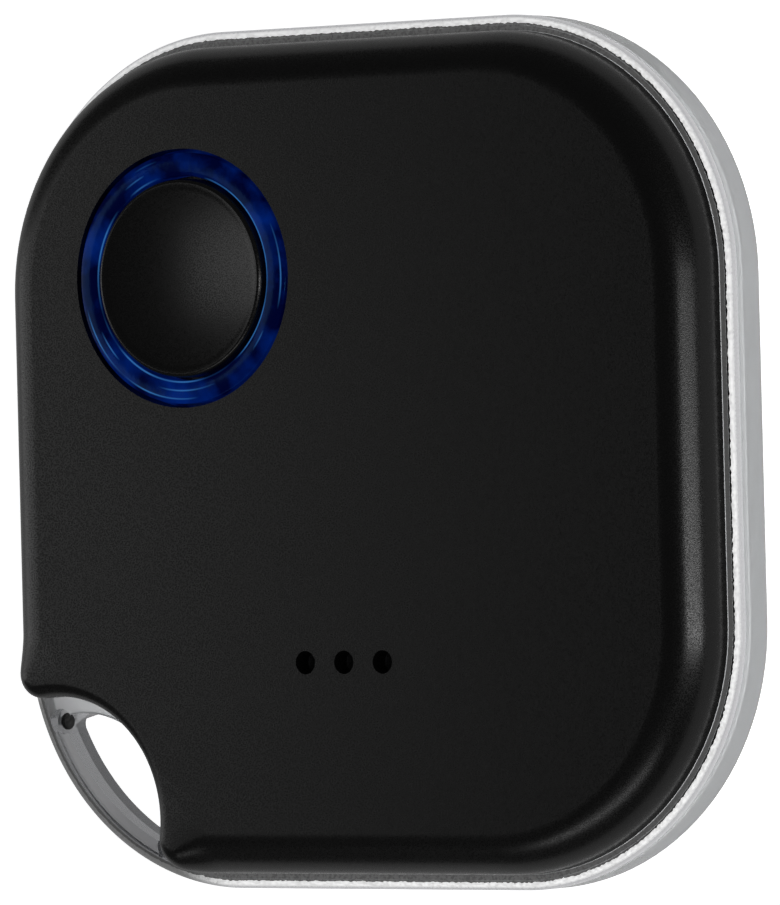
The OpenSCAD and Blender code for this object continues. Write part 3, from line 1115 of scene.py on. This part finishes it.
    def lens(self, bar_r: float, radius: float, low: float, edge: float) -> bpy.types.Object:
        """Builds an upright lens-shaped tool with a flared top.

        Args:
            bar_r: Inner radius of the loop's bar.
            radius: Radius about the hole's own middle.
            low: Height of its lower end.
            edge: Rounding that it leaves on the ledge.

        Returns:
            The tool.
        """
        skin = Skin()
        line = [(0.0, low)]
        line += [(edge - across, self.joint_z - drop) for across, drop in quarter(edge, 4)[::-1]]
        line += [(edge, self.joint_z + self.past)]
        rings = []
        for grow, z in line:
            points = self.outline.lens(radius + grow, bar_r + grow, self.tip_r + grow)
            rings.append(skin.ring(points, z))
        skin.shell(rings)
        return skin.finish("lens")

    def drum(self, middle: Vector, radius: float, low: float, high: float, count: int = 120,
             name: str = "drum") -> bpy.types.Object:
        """Builds a round upright solid.

        Args:
            middle: Where its axis stands.
            radius: Its radius.
            low: Height of its lower end.
            high: Height of its upper end.
            count: How many steps there are in a turn.
            name: Its name.

        Returns:
            The drum.
        """
        skin = Skin()
        skin.revolve([(0, low), (radius, low), (radius, high), (0, high)], middle, count)
        return skin.finish(name)

    def post(self, x: float, y: float) -> bpy.types.Object:
        """Returns one post with its pin and its melted head."""
        low, high = (corner.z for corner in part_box("circuit_board"))
        skin = Skin()
        head = high + self.pin_head_h
        skin.revolve([
            (0, self.floor_z - 0.1 * MM), (self.post_r, self.floor_z - 0.1 * MM),
            (self.post_r, low), (self.pin_r, low), (self.pin_r, high), (self.pin_head_r, high),
            (self.pin_head_r, head - 0.1 * MM), (self.pin_head_r - 0.15 * MM, head), (0, head),
        ], Vector((x, y)), 40)
        return skin.finish("post")

    def build(self, stock: Stock) -> None:
        """Builds, dresses and installs the base.

        Args:
            stock: Where finishes come from.
        """
        piece = self.body()
        corner_r = self.outline.corner_r
        carve(piece, self.cavity())
        carve(piece, self.lens(corner_r - self.loop_bar, self.hole_r, -self.past, self.lens_edge))
        carve(piece, self.lens(corner_r - self.step_in, self.hole_r - self.clear,
                               self.joint_z - self.step_h, self.clear))
        under = self.joint_z - self.bar_t
        carve(piece, self.drum(self.outline.hole, self.hole_r + self.clear, -self.past, under))
        low, high = self.joint_z - self.step_end_h, self.joint_z + self.past
        for end in self.step_ends():
            carve(piece, self.drum(end, self.step_end_r, low, high))
        for x, y in self.posts:
            carve(piece, self.post(x * MM, y * MM), "UNION")
        smooth(piece)
        install(piece, Body.BASE, "clear_plastic", "base_tray", stock)
        self.bands(stock)


@dataclass
class ButtonSet:
    """The light ring and the dished button inside it."""

    place: ButtonPlace
    ring_r: float = 5.25 * MM
    ring_in_r: float = 4.29 * MM
    ring_low: float = 0.07 * MM
    flange_r: float = 6.3 * MM
    button_r: float = 4.15 * MM
    dish_depth: float = 0.43 * MM
    edge_r: float = 0.18 * MM
    cap_flange_r: float = 4.9 * MM
    cap_flange_t: float = 0.2 * MM
    stem_r: float = 1.1 * MM
    front_wall: float = 0.9 * MM
    rim_w: float = 0.35 * MM
    flange_gap: float = 0.04 * MM

    def ring(self, stock: Stock) -> None:
        """Builds and installs the light ring.

        Args:
            stock: Where finishes come from.
        """
        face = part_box("front_cover")[1].z
        low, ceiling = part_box("light_ring")[0].z, face - self.front_wall
        shoulder = face - self.ring_low
        middle, half = (self.ring_r + self.ring_in_r) / 2, (self.ring_r - self.ring_in_r) / 2
        band = [
            (middle + half * math.cos(math.radians(a)),
             shoulder + self.ring_low * math.sin(math.radians(a)))
            for a in steps(0, 180, 20)
        ]
        profile = [
            (self.ring_in_r, low), (self.flange_r, low), (self.flange_r, ceiling),
            (self.ring_r, ceiling), *band, (self.ring_in_r, low),
        ]
        skin = Skin()
        skin.revolve(profile, self.place.middle, 160)
        piece = skin.finish("light_ring_guide")
        install(piece, Body.COVER, "blue_light_guide", "light_ring", stock)

    def button(self, stock: Stock) -> None:
        """Builds and installs the button cap.

        Args:
            stock: Where finishes come from.
        """
        low, rim = (corner.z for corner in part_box("button_cap"))
        bowl_r = (self.button_r**2 + self.dish_depth**2) / (2 * self.dish_depth)
        rim_in = self.button_r - self.rim_w
        dish = [
            (r, rim - self.dish_depth + bowl_r - math.sqrt(bowl_r**2 - r * r))
            for r in steps(0, rim_in, 24)
        ]
        edge = [
            (self.button_r - self.edge_r + self.edge_r * math.cos(math.radians(a)),
             rim - self.edge_r + self.edge_r * math.sin(math.radians(a)))
            for a in steps(90, 0, 6)
        ]
        flange_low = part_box("light_ring")[0].z - self.flange_gap - self.cap_flange_t
        flange_high = flange_low + self.cap_flange_t
        profile = [
            *dish, *edge, (self.button_r, flange_high), (self.cap_flange_r, flange_high),
            (self.cap_flange_r, flange_low), (self.stem_r, flange_low), (self.stem_r, low),
            (0, low),
        ]
        skin = Skin()
        skin.revolve(profile, self.place.middle, 128)
        install(skin.finish("button_face"), Body.BUTTON, "black_plastic", "button_cap", stock)


class Innards:
    """The CAD parts that keep their shape and only need their finish."""

    SHOWN = {
        "acoustic_mesh": "mesh",
        "cell_pad": "foam",
        "circuit_board": "board",
        "battery_can": "cell_steel",
        "battery_gasket": "seal",
        "battery_cap": "cell_steel",
        "battery_core": "cell_fill",
        "positive_contact_upper": "contact_metal",
        "positive_contact_lower": "contact_metal",
        "negative_contact": "contact_metal",
        "switch_body": "switch_plastic",
        "switch_dome": "switch_metal",
        "switch_plate": "switch_metal",
        "switch_plunger": "white_plastic",
        **{f"led_{number}": "lamp" for number in range(1, 5)},
        "sounder_case": "sounder_plastic",
        "sounder_diaphragm": "sounder_brass",
        "sounder_lid": "sounder_plastic",
        "radio_chip": "chip_resin",
        "crystal": "crystal_metal",
        "chip_antenna": "antenna_ceramic",
        "inductor": "ferrite",
        "capacitors": "capacitor_ceramic",
        "resistors": "resistor_ceramic",
        "test_pads": "gold_pad",
    }

    def build(self, stock: Stock) -> None:
        """Dresses every carried-over part.

        Args:
            stock: Where finishes come from.
        """
        for node, slot in self.SHOWN.items():
            stock.dress(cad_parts[node], slot)
            LOG.info("%s: finish %s", node, slot)


# ---------------------------------------------------------------- studio


@dataclass
class Studio:
    """Pale floor, soft lamps and the camera."""

    floor_half: float = 0.9
    floor_dim: float = 0.7
    floor_glow: float = 0.9
    world: float = 0.06
    camera_at: Point = (0.20188, -0.0006, 0.29883)
    right: Point = (0.82658, -0.025, -0.56227)
    up: Point = (0.02184, 0.99969, -0.01235)
    lens: float = 342.6
    sensor: float = 36.0

    def floor(self) -> None:
        """Lays the pale floor."""
        mesh = bpy.data.meshes.new("floor")
        s, z = self.floor_half, -0.02 * MM
        mesh.from_pydata([(-s, -s, z), (s, -s, z), (s, s, z), (-s, s, z)], [], [(0, 1, 2, 3)])
        piece = bpy.data.objects.new("floor", mesh)
        bpy.context.scene.collection.objects.link(piece)
        r = Recipe("floor_paper")
        paper = r.node("BsdfPrincipled", {
            "Base Color": (0.85, 0.85, 0.85),
            "Roughness": 0.9,
            "Emission Color": (1.0, 1.0, 1.0),
            "Emission Strength": self.floor_glow,
        })
        dim = r.node("BsdfDiffuse", {"Color": (0.02, 0.02, 0.02)})
        rays = r.node("LightPath").outputs
        mirrored = r.combine("SUBTRACT", rays["Is Glossy Ray"], rays["Is Transmission Ray"],
                          use_clamp=True)
        shade = r.choose(r.span(mirrored, 0.0, self.floor_dim), paper, dim)
        piece.data.materials.append(r.output(shade))

    def lamp(self, name: str, tilt: float, turn: float, away: float, size: Pair,
             power: float) -> None:
        """Hangs a soft box that faces the tag.

        Args:
            name: The lamp's name.
            tilt: Degrees from straight above.
            turn: Degrees round from +X.
            away: Distance from the tag.
            size: Width across the tilt and length along it.
            power: Watts.
        """
        data = bpy.data.lights.new(name, "AREA")
        data.shape = "RECTANGLE"
        data.size, data.size_y = size
        data.energy = power
        lamp = bpy.data.objects.new(name, data)
        t, a = math.radians(tilt), math.radians(turn)
        toward = Vector((math.sin(t) * math.cos(a), math.sin(t) * math.sin(a), math.cos(t)))
        lamp.location = toward * away
        lamp.rotation_mode = "QUATERNION"
        lamp.rotation_quaternion = toward.to_track_quat("Z", "Y")
        bpy.context.scene.collection.objects.link(lamp)

    def camera(self) -> None:
        """Sets the camera up."""
        data = bpy.data.cameras.new("camera")
        data.lens = self.lens
        data.sensor_width = self.sensor
        data.clip_start, data.clip_end = 0.01, 10.0
        right, up = Vector(self.right).normalized(), Vector(self.up)
        back = right.cross(up).normalized()
        up = back.cross(right)
        turned = Matrix((right, up, back)).transposed()
        camera = bpy.data.objects.new("camera", data)
        camera.matrix_world = Matrix.Translation(self.camera_at) @ turned.to_4x4()
        bpy.context.scene.collection.objects.link(camera)
        bpy.context.scene.camera = camera

    def build(self) -> None:
        """Builds the whole studio."""
        scene = bpy.context.scene
        scene.view_settings.view_transform = "Standard"
        world = bpy.data.worlds.new("studio")
        world.use_nodes = True
        sky = world.node_tree.nodes["Background"]
        sky.inputs["Color"].default_value = (1.0, 1.0, 1.0, 1.0)
        sky.inputs["Strength"].default_value = self.world
        scene.world = world
        self.floor()
        self.lamp("strip_right", 59, -6, 0.4, (0.045, 0.3), 0.33)
        self.lamp("fill_left", 68, 180, 0.5, (0.15, 0.6), 0.27)
        self.lamp("fill_low", 46, 270, 0.5, (0.4, 0.1), 0.2)
        self.camera()
        LOG.info("studio ready")


def main() -> None:
    """Builds the tag and its studio."""
    logging.basicConfig(level=logging.INFO, format="%(name)s: %(message)s")
    outline = CaseOutline()
    stock = Stock()
    low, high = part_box("button_cap")
    middle = Vector(((low.x + high.x) / 2, (low.y + high.y) / 2))
    place = ButtonPlace(middle, 5.42 * MM)
    Studio().build()
    FrontCover(outline, place).build(stock)
    ClearBase(outline).build(stock)
    buttons = ButtonSet(place)
    buttons.ring(stock)
    buttons.button(stock)
    Innards().build(stock)


if __name__ == "__main__":
    main()
